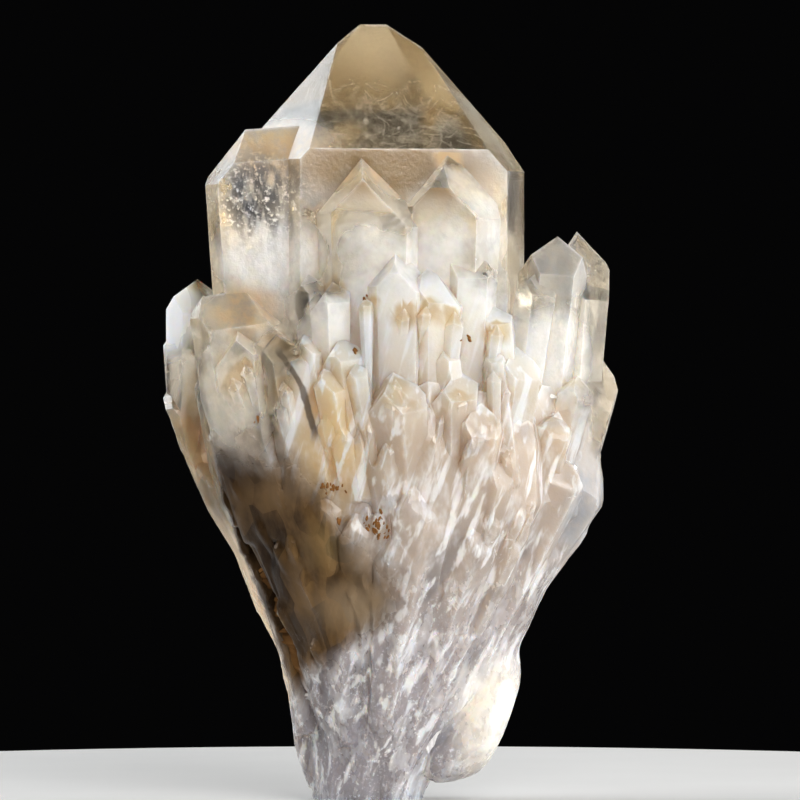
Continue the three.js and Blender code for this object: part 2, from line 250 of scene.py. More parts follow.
# Wear and roughness only take material away, so the group keeps its size.
WEAR = 0.10 * MM
ROUGHNESS = 0.42 * MM
ROUGH_HEIGHTS = (22 * MM, 46 * MM)  # full up to the first, none above the second
SMOOTH_TONGUE = (9 * MM, 13 * MM)  # to the right, where the roughness fades
moves = []
for vertex in quartz.verts:
    place = vertex.co
    bent = max((edge.calc_face_angle(0) for edge in vertex.link_edges), default=0)
    wear = WEAR * smooth_step(bent, 0.3, 1.0) * (0.5 + 0.5 * noise.noise(place / (1.1 * MM)))
    stretched = Vector((place.x, place.y, place.z * 0.4)) / (1.5 * MM)
    rough = ROUGHNESS * (0.5 + 0.5 * noise.fractal(stretched, 0.7, 2.2, 3))
    at_foot = smooth_step(-place.z, -ROUGH_HEIGHTS[1], -ROUGH_HEIGHTS[0])
    rough *= at_foot * (1 - 0.75 * smooth_step(place.x, *SMOOTH_TONGUE))
    rough = 0 if place.z < 0.01 * MM else max(0, rough)
    moves.append(-vertex.normal * (wear + rough))
for vertex, move in zip(quartz.verts, moves):
    vertex.co += move
    vertex.co.z = max(vertex.co.z, 0)
quartz.to_mesh(mesh)
quartz.free()

# The last few millimetres under a tip are clear and tinted. Each corner keeps how near a tip it is, 0 to 1.
TIP_REACH = 5.5 * MM
near_tip = mesh.attributes.new("near_tip", "FLOAT", "POINT")
nearness = []
for vertex in mesh.vertices:
    best = 0.0
    for tip, _, _ in tip_tree.find_range(vertex.co, TIP_REACH):
        down = tip - vertex.co
        if down.z > -0.4 * MM:
            aside = math.hypot(down.x, down.y)
            best = max(best, 1 - max(aside * 1.25, down.length) / TIP_REACH)
    nearness.append(best)
near_tip.data.foreach_set("value", nearness)
crystals = bpy.data.objects.new("citrine_crystals", mesh)
bpy.context.scene.collection.objects.link(crystals)
SHARP = math.radians(16)
mesh.set_sharp_from_angle(angle=SHARP)


class Paint:
    """Adds nodes to a material, so that a finish reads as a recipe."""

    def __init__(self, name):
        self.material = bpy.data.materials.new(name)
        self.material.use_nodes = True
        self.nodes = self.material.node_tree.nodes
        self.links = self.material.node_tree.links
        self.shader = self.nodes["Principled BSDF"]
        self.place = self.nodes.new("ShaderNodeTexCoord").outputs["Object"]
        self.mm = self.vector("SCALE", self.place, Scale=1000)

    def put(self, kind, values, output=0, **settings):
        """A new node with its inputs linked or set. Gives one of its outputs."""
        new = self.nodes.new(kind)
        for setting, value in settings.items():
            setattr(new, setting, value)
        for key, value in values.items():
            if isinstance(value, bpy.types.NodeSocket):
                self.links.new(value, new.inputs[key])
            else:
                new.inputs[key].default_value = value
        return new.outputs[output]

    def vector(self, operation, first, second=(0, 0, 0), Scale=1.0):
        values = {0: first, 1: second}
        if operation == "SCALE":
            values = {0: first, "Scale": Scale}
        return self.put("ShaderNodeVectorMath", values, operation=operation)

    def math(self, operation, first, second=0.0, third=0.0):
        return self.put("ShaderNodeMath", {0: first, 1: second, 2: third}, operation=operation)

    def axis(self, name):
        return self.put("ShaderNodeSeparateXYZ", {0: self.mm}, output=name)

    def noise(self, size, detail=3.0, rough=0.55, stretch=(1, 1, 1), lean=0.0):
        """Cloudy noise from 0 to 1. Its lumps have a size in mm, can be stretched, and lean to the right."""
        place = self.mm
        if lean:
            turned = {"Vector": place, "Axis": (0, 1, 0), "Angle": -lean}
            place = self.put("ShaderNodeVectorRotate", turned)
        place = self.vector("MULTIPLY", place, stretch)
        values = {"Vector": place, "Scale": 1 / size, "Detail": detail, "Roughness": rough}
        return self.put("ShaderNodeTexNoise", values)

    def band(self, value, low, high, start=0.0, end=1.0):
        """A soft step from start to end, as the value goes from low to high."""
        values = {"Value": value, "From Min": low, "From Max": high, "To Min": start, "To Max": end}
        return self.put("ShaderNodeMapRange", values, interpolation_type="SMOOTHSTEP")

    def curve(self, value, low, high, points):
        """A value that runs through points [at, level], where at lies between low and high."""
        new = self.nodes.new("ShaderNodeValToRGB")
        stops = new.color_ramp.elements
        for index, (at, level) in enumerate(points):
            stop = stops[index] if index < 2 else stops.new((at - low) / (high - low))
            stop.position = (at - low) / (high - low)
            stop.color = (level, level, level, 1) if not hasattr(level, "__len__") else (*level, 1)
        self.links.new(self.math("DIVIDE", self.math("SUBTRACT", value, low), high - low), new.inputs[0])
        return new.outputs[0]

    def mix(self, share, first, second):
        """A colour between two; each is a colour or another node's."""
        first, second = [(*tone, 1) if hasattr(tone, "__len__") else tone for tone in (first, second)]
        values = {"Factor": share, 6: first, 7: second}
        return self.put("ShaderNodeMix", values, output=2, data_type="RGBA")

    def spot(self, middle, size):
        """1 in the middle of an egg-shaped zone, 0 outside it; middle and size in mm."""
        away = self.vector("SUBTRACT", self.mm, middle)
        away = self.vector("DIVIDE", away, size)
        length = self.put("ShaderNodeVectorMath", {0: away}, output="Value", operation="LENGTH")
        return self.band(length, 1.0, 0.35)

    def set(self, **values):
        """Links or sets the shader's own inputs. An underscore in a name stands for a space."""
        for name, value in values.items():
            socket = self.shader.inputs[name.replace("_", " ")]
            if isinstance(value, bpy.types.NodeSocket):
                self.links.new(value, socket)
            else:
                socket.default_value = value


# How far to the left the outline lies, as (height, part of 40 mm), and how wide the clear strip along it is,
# as (height, part of 10 mm).
LEFT_EDGE = [(19, 0.43), (29, 0.515), (38, 0.60), (48, 0.73), (58, 0.818), (64, 0.85)]
CLEAR_EDGE = [(19, 0.10), (34, 0.10), (40, 0.12), (48, 0.26), (58, 0.42), (64, 0.50)]


def left_edge(paint):
    """1 in the strip of clear quartz along the left outline, wide at the top and thin low down."""
    x, z = paint.axis("X"), paint.axis("Z")
    inwards = paint.math("MULTIPLY_ADD", paint.curve(z, 10, 70, LEFT_EDGE), 40, x)
    inwards = paint.math("MULTIPLY_ADD", paint.noise(2.5, detail=3), 2, paint.math("SUBTRACT", inwards, 1.0))
    inwards = paint.math("MULTIPLY_ADD", paint.curve(z, 10, 70, CLEAR_EDGE), -10, inwards)
    return paint.band(inwards, 0.7, -0.5)


def smoky(paint):
    """How smoky brown the quartz is: 1 low on the left flank, between slanting limits, and 0 elsewhere."""
    x, y, z = paint.axis("X"), paint.axis("Y"), paint.axis("Z")
    ragged = paint.math("MULTIPLY_ADD", paint.noise(7, detail=4, rough=0.6), 9, -4.5)
    right_limit = paint.math("MULTIPLY_ADD", z, 0.75, -31)
    right_limit = paint.math("ADD", paint.math("ADD", x, ragged), right_limit)
    from_right = paint.band(right_limit, 1, -9)
    from_above = paint.band(paint.math("ADD", z, ragged), 60, 52)
    lower_limit = paint.math("MULTIPLY_ADD", x, -0.85, z)
    from_below = paint.band(paint.math("ADD", lower_limit, ragged), 27, 35)
    from_behind = paint.band(y, 16, 4)
    from_left = paint.math("SUBTRACT", 1.0, left_edge(paint))
    across = paint.math("MULTIPLY", paint.math("MULTIPLY", from_right, from_left), from_behind)
    return paint.math("MULTIPLY", across, paint.math("MULTIPLY", from_above, from_below))


BROWNS = [  # where the smoke has a shade of its own, (right, back, up), its reach, and the shade
    ((-26, -8, 54), (7, 20, 6), (0.090, 0.066, 0.052)),
    ((-15, -8, 51), (9, 20, 6), (0.24, 0.17, 0.115)),
    ((-22, -8, 38), (11, 20, 15), (0.006, 0.002, 0.001)),
    ((-10, -8, 42), (6, 20, 8), (0.27, 0.185, 0.080)),
    ((-4, -8, 40), (7, 20, 6), (0.46, 0.35, 0.24)),
    ((-4.5, -8, 32), (11, 20, 7), (0.38, 0.275, 0.17)),
    ((-14.5, -8, 27), (6, 20, 5), (0.05, 0.034, 0.022)),
]
DARK_SEAM = [(57, 0.600), (59.2, 0.605), (66.2, 0.685), (71.7, 0.875)]  # height, part of 20 mm to the left
FROST_AND_GLINT_SPOTS = [  # where the skin is frosted and painted white glints sit on it, (right, back, up), and its reach
    ((2, -14, 67), (5, 12, 4)),
    ((4, -14, 71), (2.5, 12, 5)),
    ((13, -14, 93), (4, 12, 5)),
    ((17, -14, 42), (4, 12, 5)),
    ((13, -14, 60), (4, 12, 4)),
    ((-3, -10, 96), (4, 12, 3)),
    ((20, -10, 63), (5, 12, 8)),
    ((6, -14, 30), (8, 14, 9)),
]
STAINS = [  # rusty patches, (right, back, up), and their reach
    ((-2, -14, 44), (3.5, 12, 3.5)),
    ((-9, -14, 49.5), (4.5, 12, 3)),
    ((-6, -14, 46), (4, 12, 4)),
]
HAZES = [  # soft clouds just under the surface: middle, reach, colour, how dense
    ((-19, -12, 104), (13, 14, 7), (0.66, 0.50, 0.32), 0.60),
    ((-19, -14, 87), (12, 14, 8), (0.80, 0.78, 0.75), 0.85),
    ((-4, -12, 98), (9, 8, 6), (0.76, 0.53, 0.28), 0.60),
    ((12, -12, 98), (9, 8, 6), (0.84, 0.74, 0.60), 0.50),
    ((27, -6, 85), (7, 12, 7), (0.50, 0.48, 0.44), 0.45),
    ((-31, 0, 65), (4, 12, 8), (0.46, 0.38, 0.26), 0.55),
    ((-4, -14, 88), (9, 9, 8), (0.96, 0.93, 0.87), 0.75),
    ((11, -12, 90), (10, 9, 9), (0.97, 0.95, 0.90), 0.70),
    ((26, -8, 71), (9, 12, 10), (0.74, 0.71, 0.67), 0.85),
    ((-25, -20, 66), (8, 9, 12), (0.92, 0.84, 0.72), 0.35),
    ((-23, -18, 78), (9, 12, 6), (0.78, 0.58, 0.36), 0.35),
    ((31, -5, 47), (8, 12, 12), (0.32, 0.32, 0.33), 0.60),
    ((16, -2, 13), (9, 14, 15), (0.82, 0.78, 0.71), 0.9),
]

# The quartz is milky under a ragged line, which is highest in the middle, and clear above it. A crystal at
# the left edge is frosted up to its tip.
MILK_TOP = [  # (right, part of 100 mm up)
    (-36, 0.50), (-28, 0.44), (-20, 0.54), (-12, 0.80), (0, 0.88),
    (10, 0.88), (18, 0.80), (27, 0.68), (36, 0.52),
]
RIM = ((-35, 2, 78), (6.5, 15, 10))  # middle and reach
finish = Paint("citrine_quartz")
x, y, z = finish.axis("X"), finish.axis("Y"), finish.axis("Z")
cloud = finish.noise(9, detail=4, rough=0.6)
wisp = finish.noise(3.2, detail=3, rough=0.65, stretch=(1, 1, 0.45))
milk_line = finish.math("MULTIPLY", finish.curve(x, -38, 38, MILK_TOP), 100)
under_line = finish.math("SUBTRACT", milk_line, z)
milk = finish.band(finish.math("MULTIPLY_ADD", cloud, 22, under_line), 2, 22)
rim = finish.spot(*RIM)
milk = finish.math("MAXIMUM", milk, rim)
smoke = smoky(finish)

# The milky part has dark ribs, pale wisps and white streaks, which lean to the right.
BODY_TONES = [  # height and tone: grey lilac at the foot, cream in the middle, white above
    (4, (0.36, 0.33, 0.35)),
    (24, (0.45, 0.40, 0.40)),
    (40, (0.52, 0.44, 0.38)),
    (58, (0.59, 0.48, 0.375)),
    (70, (0.84, 0.76, 0.66)),
    (82, (0.97, 0.94, 0.89)),
    (104, (0.98, 0.96, 0.93)),
]
HONEY_SPOT = ((-9, -20, 58), (8, 14, 17))
HONEY = (0.80, 0.60, 0.35)
DARK_FOOT_SPOT = ((-11, -8, 10), (8, 14, 14))
DARK_FOOT = (0.30, 0.27, 0.29)
DARK_RIB = (0.20, 0.175, 0.175)
PALE_WISP = (0.96, 0.95, 0.95)
WHITE_STREAK = (1.0, 0.99, 0.99)
LEAN = 0.3  # radians
streak = finish.noise(1.5, detail=3, rough=0.5, stretch=(1, 1, 0.09), lean=LEAN)
body_tone = finish.curve(z, 0, 124, BODY_TONES)
body_tone = finish.mix(finish.spot(*HONEY_SPOT), body_tone, HONEY)
body_tone = finish.mix(finish.spot(*DARK_FOOT_SPOT), body_tone, DARK_FOOT)
rib = finish.noise(5, detail=2, stretch=(1, 1, 0.3), lean=LEAN)
rib = finish.math("MULTIPLY", finish.band(rib, 0.52, 0.36, 0, 0.6), finish.band(z, 52, 34))
body_tone = finish.mix(rib, body_tone, DARK_RIB)
pale = finish.mix(finish.band(wisp, 0.45, 0.75, 0, 0.55), body_tone, PALE_WISP)
pale = finish.mix(finish.band(streak, 0.52, 0.66, 0, 0.8), pale, WHITE_STREAK)

# A strip of cream quartz runs up the left edge; its cream is partly a painted rim light. Painted white
# glints sit on the foot and in the frosted places.
CREAM_AND_RIM_LIGHT = (0.84, 0.64, 0.44)
FROST_WHITE = (0.97, 0.97, 0.98)
# Painted rim light: the strip along the left outline is made cream and bright, up to 60 to 66 mm.
cream_and_rim_light = finish.math("MULTIPLY", left_edge(finish), finish.band(z, 66, 60))
pale = finish.mix(cream_and_rim_light, pale, CREAM_AND_RIM_LIGHT)
fine = finish.noise(0.8, detail=4, rough=0.7)
painted_glints = finish.band(finish.noise(0.7, detail=3, rough=0.75), 0.56, 0.64)
glint_places = finish.band(z, 34, 20, 0, 0.9)
for middle, reach in FROST_AND_GLINT_SPOTS:
    glint_places = finish.math("MAXIMUM", glint_places, finish.spot(middle, reach))
glint_places = finish.math("MULTIPLY", glint_places, finish.band(streak, 0.42, 0.58, 0.25, 1.0))
# Painted highlight: white glints where fine noise peaks, on the foot and in the frosted spots, along streaks.
pale = finish.mix(finish.math("MULTIPLY", painted_glints, glint_places), pale, (1.0, 1.0, 1.0))
pale = finish.mix(rim, pale, FROST_WHITE)

# Milk, smoke and cream give the colour where they are, and elsewhere the quartz is nearly colourless. Soft
# clouds lie just under its surface.
CLEAR_QUARTZ = (0.985, 0.97, 0.945)
tinted = finish.math("MAXIMUM", finish.math("MAXIMUM", milk, smoke), cream_and_rim_light)
tone = finish.mix(tinted, CLEAR_QUARTZ, pale)
see_through = finish.band(milk, 0, 1, 1.0, 0.35)
dull = finish.math("MAXIMUM", rim, cream_and_rim_light)
see_through = finish.math("MULTIPLY_ADD", dull, -0.3, see_through)
patchy = finish.band(finish.noise(2.6, detail=3, rough=0.7, stretch=(1, 1, 0.6)), 0.36, 0.62)
patchy = finish.math("MULTIPLY_ADD", patchy, 0.35, 0.65)


def less_clear(see_through, where, loss):
    """How much light still passes where something takes a share of it away."""
    return finish.math("MULTIPLY", see_through, finish.math("MULTIPLY_ADD", where, -loss, 1.0))


for middle, reach, colour, density in HAZES:
    haze = finish.math("MULTIPLY", finish.spot(middle, reach), patchy)
    tone = finish.mix(haze, tone, colour)
    see_through = less_clear(see_through, haze, density)

# A dark amber band is painted on the large point's upright front face, just under the edge of its top, as
# painted shade where the dark behind is seen through.
DARK_BAND = ((2, -17, 101), (32, 14, 9))
DARK_BAND_AMBER = (0.27, 0.185, 0.095)
upwards = finish.put("ShaderNodeTexCoord", {}, output="Normal")
upwards = finish.math("ABSOLUTE", finish.put("ShaderNodeSeparateXYZ", {0: upwards}, output="Z"))
painted_dark_band = finish.math("MULTIPLY", finish.spot(*DARK_BAND), finish.band(upwards, 0.25, 0.08))
# Painted shade: dark amber on upright faces only, and less clear there.
tone = finish.mix(painted_dark_band, tone, DARK_BAND_AMBER)
see_through = less_clear(see_through, painted_dark_band, 0.8)

# The left neighbour's front is a clear window; the dark seen through it is painted on as mottled shade.
DARK_WINDOW_SPOT = ((-21, -20, 96), (11, 14, 11))
PAINTED_WINDOW_DARK = (0.07, 0.07, 0.075)
painted_dark_window = finish.math("MULTIPLY", finish.spot(*DARK_WINDOW_SPOT), finish.band(wisp, 0.64, 0.46))
painted_dark_mottle = finish.math("MULTIPLY", painted_dark_window, finish.band(fine, 0.64, 0.52))
# Painted shade: near-black mottles where the dark surroundings show through.
tone = finish.mix(painted_dark_mottle, tone, PAINTED_WINDOW_DARK)
see_through = less_clear(see_through, painted_dark_window, 0.6)

# Tips are clear again, amber high up and grey lilac lower down. Shut-in grooves get a painted brown shade.
LOW_TIP = (0.60, 0.52, 0.49)
HIGH_TIP = (0.78, 0.58, 0.34)
GROOVE_SHADE_BROWN = (0.36, 0.19, 0.07)
STAIN_ORANGE = (0.66, 0.38, 0.12)
tip = finish.put("ShaderNodeAttribute", {}, output="Fac", attribute_name="near_tip")
tip = finish.band(finish.math("MULTIPLY_ADD", wisp, 0.5, tip), 0.55, 0.95)
tip_tone = finish.mix(finish.band(z, 56, 68), LOW_TIP, HIGH_TIP)
tone = finish.mix(finish.math("MULTIPLY", tip, finish.band(z, 56, 76, 0.45, 0.8)), tone, tip_tone)
GROOVE_WIDTH = 1.3 * MM
how_open = {"output": "AO", "samples": 1, "only_local": True}
groove = finish.put("ShaderNodeAmbientOcclusion", {"Distance": GROOVE_WIDTH}, **how_open)
# Painted shade: rusty brown where the AO node finds a groove shut in, in a band of heights, more to the left.
groove_shade = finish.band(groove, 0.80, 0.45)
shaded_height = finish.math("MULTIPLY", finish.band(z, 36, 48), finish.band(z, 98, 86))
shaded_side = finish.band(x, 26, 12, 0.25, 1.0)
groove_shade = finish.math("MULTIPLY", groove_shade, finish.math("MULTIPLY", shaded_height, shaded_side))
groove_shade = finish.math("MULTIPLY", groove_shade, finish.band(finish.noise(4, detail=3), 0.38, 0.60, 0, 0.85))
tone = finish.mix(groove_shade, tone, GROOVE_SHADE_BROWN)
for middle, reach in STAINS:
    stain = finish.math("MULTIPLY", finish.spot(middle, reach), finish.band(fine, 0.35, 0.65, 0.1, 0.7))
    tone = finish.mix(stain, tone, STAIN_ORANGE)

# The smoke changes its shade from crystal to crystal, and a thin dark seam runs up from it.
FACET = 3.8  # mm
DARK_SMOKE = (0.028, 0.013, 0.004)
PALE_SMOKE = (0.19, 0.108, 0.042)
SEAM_BROWN = (0.12, 0.09, 0.07)
upright = finish.vector("MULTIPLY", finish.mm, (1, 1, 0.5))
facet = finish.put("ShaderNodeTexVoronoi", {"Vector": upright, "Scale": 1 / FACET}, output="Color")
facet = finish.put("ShaderNodeSeparateXYZ", {0: facet}, output="X")
shade_of_facet = finish.math("MULTIPLY_ADD", wisp, 0.75, finish.math("MULTIPLY", facet, 0.3))
brown = finish.mix(finish.band(shade_of_facet, 0.25, 0.75), DARK_SMOKE, PALE_SMOKE)
even = finish.band(shade_of_facet, 0.1, 0.8, 0.95, 0.55)
for middle, reach, own_brown in BROWNS:
    here = finish.math("MULTIPLY", finish.spot(middle, reach), even)
    brown = finish.mix(here, brown, own_brown)
tone = finish.mix(smoke, tone, brown)
seam = finish.math("MULTIPLY_ADD", finish.curve(z, 50, 75, DARK_SEAM), 20, x)
seam = finish.math("MULTIPLY_ADD", finish.noise(3, detail=3), 1.2, finish.math("SUBTRACT", seam, 0.6))
seam = finish.band(finish.math("ABSOLUTE", seam), 0.75, 0.35)
seam = finish.math("MULTIPLY", seam, finish.math("MULTIPLY", finish.band(z, 57, 60), finish.band(z, 73, 71)))
seam = finish.math("MULTIPLY", seam, finish.band(y, -2, -6, 0, 0.85))
tone = finish.mix(seam, tone, SEAM_BROWN)
see_through = finish.math("MULTIPLY_ADD", tip, 0.12, see_through)
see_through = less_clear(see_through, smoke, 0.3)

# Edges are chipped and catch the light: a thin white line, partly chips and partly a painted highlight,
# runs along them, here and there broken.
CHIP_AND_HIGHLIGHT_WIDTH = 0.6 * MM
CHIP_AND_HIGHLIGHT_WHITE = (0.97, 0.96, 0.96)
ridge = finish.put("ShaderNodeAmbientOcclusion", {"Distance": CHIP_AND_HIGHLIGHT_WIDTH}, inside=True, **how_open)
chips_and_highlight = finish.band(finish.noise(1.6, detail=3, rough=0.7), 0.32, 0.52)
chips_and_highlight = finish.math("MULTIPLY", finish.band(ridge, 0.88, 0.60), chips_and_highlight)
chips_and_highlight = finish.math("MULTIPLY", chips_and_highlight, finish.math("MULTIPLY_ADD", smoke, -0.7, 0.8))
# Painted highlight with chips: white along the convex edges, weaker on the smoky side.
tone = finish.mix(chips_and_highlight, tone, CHIP_AND_HIGHLIGHT_WHITE)
see_through = less_clear(see_through, chips_and_highlight, 0.7)

# The tall crystals are glassy, the foot is frosted, and the smoky side has soft, dim reflections.
WHITE_SHEEN = (1.0, 1.0, 1.0)
BROWN_SHEEN = (0.32, 0.20, 0.11)
BUMP_HEIGHT = 0.3 * MM
QUARTZ_IOR = 1.544
GLOW_REACH = 9 * MM
AMBER = (0.964, 0.667, 0.056, 1)  # the quartz absorbs (1 - this) times the density, per metre
AMBER_DENSITY = 15.0
frost = finish.band(z, 60, 30)
rough = finish.math("MULTIPLY_ADD", frost, 0.22, finish.band(wisp, 0.4, 0.75, 0.03, 0.12))
rough = finish.math("MULTIPLY_ADD", rim, 0.3, rough)
rough = finish.math("MAXIMUM", rough, finish.math("MULTIPLY", smoke, 0.4))
bump = finish.put("ShaderNodeBump", {"Strength": 0.25, "Distance": BUMP_HEIGHT, "Height": fine})
sheen_tone = finish.mix(smoke, WHITE_SHEEN, BROWN_SHEEN)
glow = finish.math("MULTIPLY_ADD", smoke, -0.7, 1.0)
finish.set(
    Specular_Tint=sheen_tone, Base_Color=tone, Roughness=rough, IOR=QUARTZ_IOR,
    Transmission_Weight=see_through, Subsurface_Weight=glow, Subsurface_Radius=(1.0, 0.8, 0.6),
    Subsurface_Scale=GLOW_REACH, Normal=bump,
)
absorb = finish.nodes.new("ShaderNodeVolumeAbsorption")
absorb.inputs["Color"].default_value = AMBER
absorb.inputs["Density"].default_value = AMBER_DENSITY
finish.links.new(absorb.outputs[0], finish.nodes["Material Output"].inputs["Volume"])
mesh.materials.append(finish.material)
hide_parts("crystal_group")
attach(crystals, "root")

# The milk in the quartz: countless tiny bubbles that the crystals grew round. They make a white cloud that
# fills the foot and rises inside every crystal, ragged at the top, and leaves the points clear.
COLUMNS = [  # where each column of cloud ends, (right, back, up), its radius there and at the foot; mm
    ((-2, 0, 93), 10, 9),
    ((9, -6, 95), 5.5, 8),
    ((-5, -9, 95), 5.5, 8),
    ((-18, -9, 91), 6.5, 7),
    ((4, 6, 93), 8, 8),
    ((-12, 8, 88), 8, 8),
    ((12, 8, 88), 8, 8),
    ((24, -3, 78), 5.5, 7),
    ((24, 6, 74), 6, 7),
    ((-24, -14, 71), 5.5, 7),
    ((-26, 4, 72), 5, 7),
    ((28, -4, 62), 5, 7),
    ((2, -16, 80), 7, 8),
    ((12, -14, 82), 6, 8),
    ((-10, -15, 78), 6, 8),
    ((0, 15, 80), 8, 8),
    ((-14, 14, 70), 6, 7),
    ((16, 14, 68), 6, 7),
]
CLOUD_DEPTH = 1.1 * MM  # how far below the surface the cloud begins
CLOUD_FINENESS = 0.8 * MM
LUMPS = 1.3 * MM
LUMP_SPACING = 6 * MM
COLUMN_BALLS = 14
SPIRES = 7  # thin columns that rise out of each thick one
SPIRE_BALLS = 24
SPIRE_RADII = (1.0, 2.4)  # mm
SPIRE_FOOT = 4.0  # mm
FOOT_MARGIN = 2.0  # mm that the cloud is slimmer than the foot
BOW = 0.10  # how far a column bows outwards, of its spread
ball = bmesh.new()
bmesh.ops.create_icosphere(ball, subdivisions=2, radius=1)
ball_corners = [vertex.co.copy() for vertex in ball.verts]
ball_faces = [tuple(vertex.index for vertex in face.verts) for face in ball.faces]
ball.free()
corners, faces = [], []


def column_of_cloud(top, radius, foot_radius, steps):
    """A row of balls from the foot to the top, bowed a little."""
    top = (Vector(top) - Vector((0, 0, radius))) * MM
    foot = Vector((top.x * 0.22 + 0.5 * MM, top.y * 0.22, 6 * MM))
    for step in range(steps + 1):
        share = step / steps
        middle = foot.lerp(top, share)
        middle.x += BOW * math.sin(math.pi * share) * (top.x - foot.x)
        middle.y += BOW * math.sin(math.pi * share) * (top.y - foot.y)
        size = (foot_radius - FOOT_MARGIN + (radius - foot_radius + FOOT_MARGIN) * share) * MM
        faces.extend(tuple(corner + len(corners) for corner in face) for face in ball_faces)
        corners.extend(middle + size * corner for corner in ball_corners)


for top, radius, foot_radius in COLUMNS:
    column_of_cloud(top, radius, foot_radius, COLUMN_BALLS)
    for _ in range(SPIRES):
        turned = chance.uniform(0, math.tau)
        aside = radius * chance.uniform(0.2, 0.95)
        spire = (top[0] + aside * math.sin(turned), top[1] + aside * math.cos(turned),
                 top[2] + chance.uniform(-7, 3.5))
        column_of_cloud(spire, chance.uniform(*SPIRE_RADII), SPIRE_FOOT, SPIRE_BALLS)
cloud_mesh = bpy.data.meshes.new("milky_cloud")
cloud_mesh.from_pydata(corners, [], faces)
milky_cloud = bpy.data.objects.new("milky_cloud", cloud_mesh)
bpy.context.scene.collection.objects.link(milky_cloud)
merge = milky_cloud.modifiers.new("merge", "REMESH")
merge.mode = "VOXEL"
merge.voxel_size = CLOUD_FINENESS
bpy.context.view_layer.update()
merged = bpy.data.meshes.new_from_object(milky_cloud.evaluated_get(bpy.context.evaluated_depsgraph_get()))
milky_cloud.modifiers.clear()
milky_cloud.data = merged
SEARCH = 8 * MM  # how far off the surface is looked for
CLOUD_FOOT = 1 * MM
GAP_TOP = 24 * MM
lumpy = []
for place, outward in [(vertex.co.copy(), vertex.normal.copy()) for vertex in merged.vertices]:
    lump = noise.fractal(place / LUMP_SPACING, 0.7, 2.1, 4) * LUMPS
    place += outward * (lump - 0.6 * LUMPS)
    near, normal, _, _ = outside.find_nearest(place, SEARCH)
    if near and (place - near).dot(normal) > -CLOUD_DEPTH:
        place = near - normal * CLOUD_DEPTH
    place.z = max(place.z, CLOUD_FOOT)
    if place.z < GAP_TOP:  # the gap between stem and tongue stays free of cloud
        place.x = min(place.x, 1.8 * MM + 0.58 * place.z)
    lumpy += list(place)
merged.vertices.foreach_set("co", lumpy)
merged.shade_smooth()
white = Paint("milk_in_quartz")
MILK_TONES = [  # height and tone
    (4, (0.93, 0.90, 0.90)),
    (30, (0.93, 0.89, 0.85)),
    (50, (0.95, 0.90, 0.83)),
    (70, (0.97, 0.94, 0.89)),
    (88, (0.98, 0.975, 0.965)),
]
HONEY_MILK_SPOT = ((-8, -18, 58), (9, 16, 19))
HONEY_MILK = (0.90, 0.76, 0.50)
DARK_MILK = (0.05, 0.020, 0.007)
BROWN_MILK = (0.20, 0.10, 0.035)
white_tone = white.curve(white.axis("Z"), 0, 100, MILK_TONES)
white_tone = white.mix(white.spot(*HONEY_MILK_SPOT), white_tone, HONEY_MILK)
brown_milk = white.mix(white.noise(5, detail=4), DARK_MILK, BROWN_MILK)
white.set(Base_Color=white.mix(smoky(white), white_tone, brown_milk), Roughness=1.0, Specular_IOR_Level=0.0)
merged.materials.append(white.material)
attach(milky_cloud, "root")

# Rusty grains sit on the crystals in front, left by iron in the water: most are in one cluster, and a few
# on their own. Each is a flattened lump, half a millimetre to a millimetre long.
RUST_SPOTS = [  # (right, up), spread, how many; mm
    ((-2.2, 44.2), (1.6, 1.7), 34),
    ((-9.5, 50.5), (2.4, 0.7), 16),
    ((-5.8, 72.0), (0.3, 0.4), 3),
    ((-3.9, 80.2), (0.3, 0.4), 3),
    ((-8.1, 45.3), (0.5, 0.5), 4),
    ((-21.0, 60.5), (0.8, 0.8), 3),
    ((12.0, 74.0), (0.8, 0.8), 3),
]
IN_FRONT = -60  # mm, where the search for the skin starts
HALF_LENGTHS = (0.2, 0.52)  # mm
NARROW, FLAT = 0.5, 0.3  # width and height, of the length
skin = BVHTree.FromObject(crystals, bpy.context.evaluated_depsgraph_get())
grain = bmesh.new()
bmesh.ops.create_icosphere(grain, subdivisions=2, radius=1)
corners, faces = [], []
for (right, up), (wide, tall), count in RUST_SPOTS:
    for _ in range(count):
        start = Vector((chance.gauss(right, 0.6 * wide), IN_FRONT, chance.gauss(up, 0.6 * tall))) * MM
        place, outward, _, _ = skin.ray_cast(start, Vector((0, 1, 0)))
        if place is None:
            continue
        length = MM * chance.uniform(*HALF_LENGTHS)
        along = (Vector((0, 0, 1)) - outward * outward.z).normalized()
        along.rotate(Quaternion(outward, chance.gauss(0, 0.5)))
        across = outward.cross(along)
        faces += [tuple(vertex.index + len(corners) for vertex in face.verts) for face in grain.faces]
        seed = Vector((chance.uniform(0, 50), 0, 0))
        for vertex in grain.verts:
            bumpy = 1 + 0.35 * noise.noise(vertex.co * 1.4 + seed)
            corner = vertex.co * bumpy * length
            corners.append(place + along * corner.x + across * corner.y * NARROW + outward * corner.z * FLAT)
grain.free()
grain_mesh = bpy.data.meshes.new("rust_grains")
grain_mesh.from_pydata(corners, [], faces)
grain_mesh.shade_smooth()
rust_grains = bpy.data.objects.new("rust_grains", grain_mesh)
bpy.context.scene.collection.objects.link(rust_grains)
rust = Paint("rust")
DARK_RUST = (0.06, 0.018, 0.003)
LIGHT_RUST = (0.30, 0.12, 0.018)
rust_tone = rust.mix(rust.noise(0.25, detail=3), DARK_RUST, LIGHT_RUST)
rust.set(Base_Color=rust_tone, Roughness=0.75, Specular_IOR_Level=0.3)
grain_mesh.materials.append(rust.material)
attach(rust_grains, "root")

